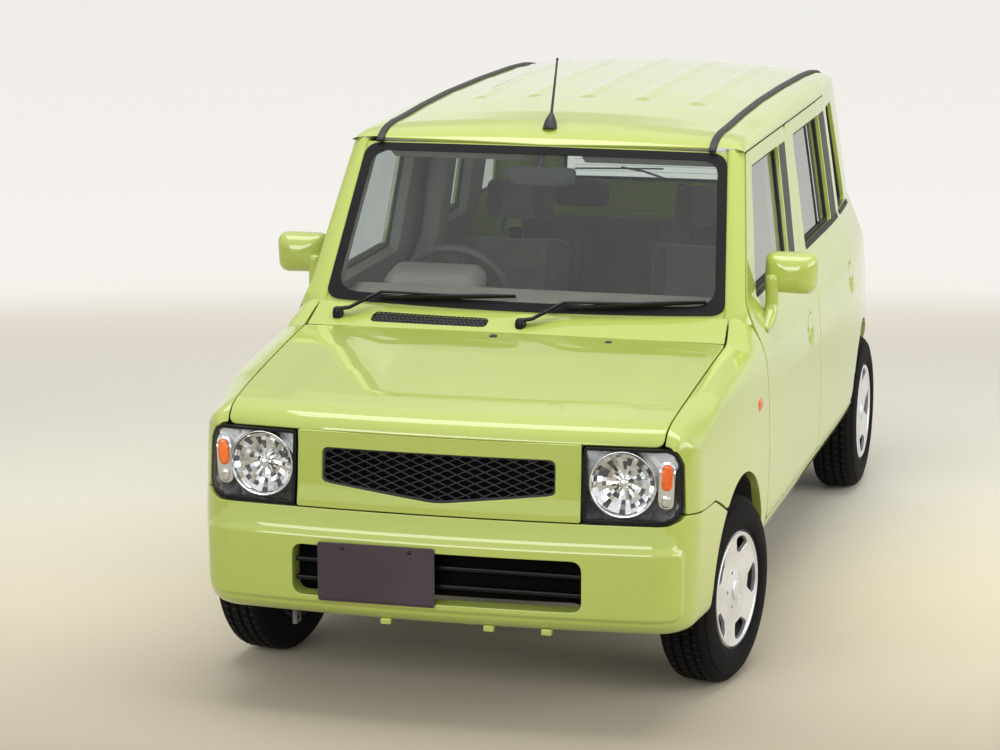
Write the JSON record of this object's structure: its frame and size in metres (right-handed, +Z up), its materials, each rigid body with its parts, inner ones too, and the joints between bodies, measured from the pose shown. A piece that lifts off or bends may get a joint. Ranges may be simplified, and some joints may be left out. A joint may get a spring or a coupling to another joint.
{
  "type": "kei car",
  "caption": "Small upright five-door hatchback car with opening doors, bonnet and tailgate, steered front wheels and free-rolling wheels.",
  "frame": {"origin": "on the ground, in the middle of the car's length and width", "axes": "+Z up, -Y out of the nose, +X to the car's left"},
  "size_m": [1.6696, 3.3945, 1.6641],
  "materials": {
    "paint": "gloss",
    "structure": "satin",
    "trim_black": "matte",
    "under_black": "satin",
    "lamp": "clear",
    "lamp_red": "clear",
    "glass": "clear",
    "plate": "satin",
    "seat": "woven",
    "dash": "grained",
    "engine": "cast",
    "exhaust": "satin",
    "tyre": "matte",
    "cover": "silver"
  },
  "bodies": {
    "car_body": {"floor_pan": "structure", "bulkhead": "structure", "front_rails": "structure", "sills": "paint", "rear_quarters": "paint", "roof_rails": "paint", "front_pillars": "paint", "roof_panel": "paint", "fenders": "paint", "cowl_panel": "paint", "front_panel": "paint", "grille_mesh": "trim_black", "front_lamps": "lamp", "front_bumper": "paint", "bumper_insert": "trim_black", "front_plate": "plate", "fixed_glass": "glass", "rear_bumper": "paint", "tail_lamps": "lamp_red", "wheel_liners": "trim_black", "wipers": "trim_black", "aerial": "trim_black", "front_seats": "seat", "rear_seat": "seat", "dashboard": "dash", "inner_mirror": "trim_black", "engine": "engine", "front_crossmember": "under_black", "rear_axle_beam": "under_black", "exhaust": "exhaust", "fuel_tank": "exhaust"},
    "bonnet": {"bonnet": "paint"},
    "tailgate": {"tailgate": "paint", "tailgate_glass": "glass"},
    "door_front_left": {"door_front_left": "paint", "glass_front_left": "glass", "mirror_left": "paint"},
    "door_front_right": {"door_front_right": "paint", "glass_front_right": "glass", "mirror_right": "paint"},
    "door_rear_left": {"door_rear_left": "paint", "glass_rear_left": "glass"},
    "door_rear_right": {"door_rear_right": "paint", "glass_rear_right": "glass"},
    "steering_wheel": {"steering_wheel": "trim_black"},
    "knuckle_left": {"knuckle_left": "under_black"},
    "knuckle_right": {"knuckle_right": "under_black"},
    "wheel_front_left": {"tyre_front_left": "tyre", "wheel_front_left": "cover"},
    "wheel_front_right": {"tyre_front_right": "tyre", "wheel_front_right": "cover"},
    "wheel_rear_left": {"tyre_rear_left": "tyre", "wheel_rear_left": "cover"},
    "wheel_rear_right": {"tyre_rear_right": "tyre", "wheel_rear_right": "cover"}
  },
  "joints": [
    {"name": "steer_left", "type": "hinge", "parent": "car_body", "child": "knuckle_left", "pos_m": [0.62608, -1.073, 0.266], "axis": [-0.1598, 0, 0.9871], "range_deg": [-25, 45]},
    {"name": "steer_right", "type": "hinge", "parent": "car_body", "child": "knuckle_right", "pos_m": [-0.62608, -1.073, 0.266], "axis": [0.1598, 0, 0.9871], "range_deg": [-25, 45]},
    {"name": "spin_front_left", "type": "hinge", "parent": "knuckle_left", "child": "wheel_front_left", "pos_m": [0.64669, -1.07659, 0.26595], "axis": [0.9852, -0.1714, -0.0024], "continuous": true},
    {"name": "spin_front_right", "type": "hinge", "parent": "knuckle_right", "child": "wheel_front_right", "pos_m": [-0.64669, -1.06941, 0.26595], "axis": [0.9852, -0.1714, 0.0024], "continuous": true},
    {"name": "spin_rear_left", "type": "hinge", "parent": "car_body", "child": "wheel_rear_left", "pos_m": [0.647, 1.287, 0.266], "axis": [1, 0, 0], "continuous": true},
    {"name": "spin_rear_right", "type": "hinge", "parent": "car_body", "child": "wheel_rear_right", "pos_m": [-0.647, 1.287, 0.266], "axis": [1, 0, 0], "continuous": true},
    {"name": "steering_wheel_turn", "type": "hinge", "parent": "car_body", "child": "steering_wheel", "pos_m": [-0.345, -0.207, 0.919], "axis": [0, 0.9063, 0.4226], "range_deg": [-350, 630]},
    {"name": "door_front_left_hinge", "type": "hinge", "parent": "car_body", "child": "door_front_left", "pos_m": [0.72, -0.66, 0.7], "axis": [0, 0, -1], "range_deg": [0, 65]},
    {"name": "door_rear_left_hinge", "type": "hinge", "parent": "car_body", "child": "door_rear_left", "pos_m": [0.72, 0.268, 0.7], "axis": [0, 0, -1], "range_deg": [0, 65]},
    {"name": "door_front_right_hinge", "type": "hinge", "parent": "car_body", "child": "door_front_right", "pos_m": [-0.72, -0.66, 0.7], "axis": [0, 0, 1], "range_deg": [0, 65]},
    {"name": "door_rear_right_hinge", "type": "hinge", "parent": "car_body", "child": "door_rear_right", "pos_m": [-0.72, 0.268, 0.7], "axis": [0, 0, 1], "range_deg": [0, 65]},
    {"name": "bonnet_hinge", "type": "hinge", "parent": "car_body", "child": "bonnet", "pos_m": [0, -0.866, 0.914], "axis": [-1, 0, 0], "range_deg": [0, 60]},
    {"name": "tailgate_hinge", "type": "hinge", "parent": "car_body", "child": "tailgate", "pos_m": [0, 1.462, 1.385], "axis": [1, 0, 0], "range_deg": [0, 80]}
  ],
  "couplings": [
    {"joint": "steer_right", "follows": "steer_left", "ratio": 1},
    {"joint": "steering_wheel_turn", "follows": "steer_left", "ratio": 14}
  ]
}
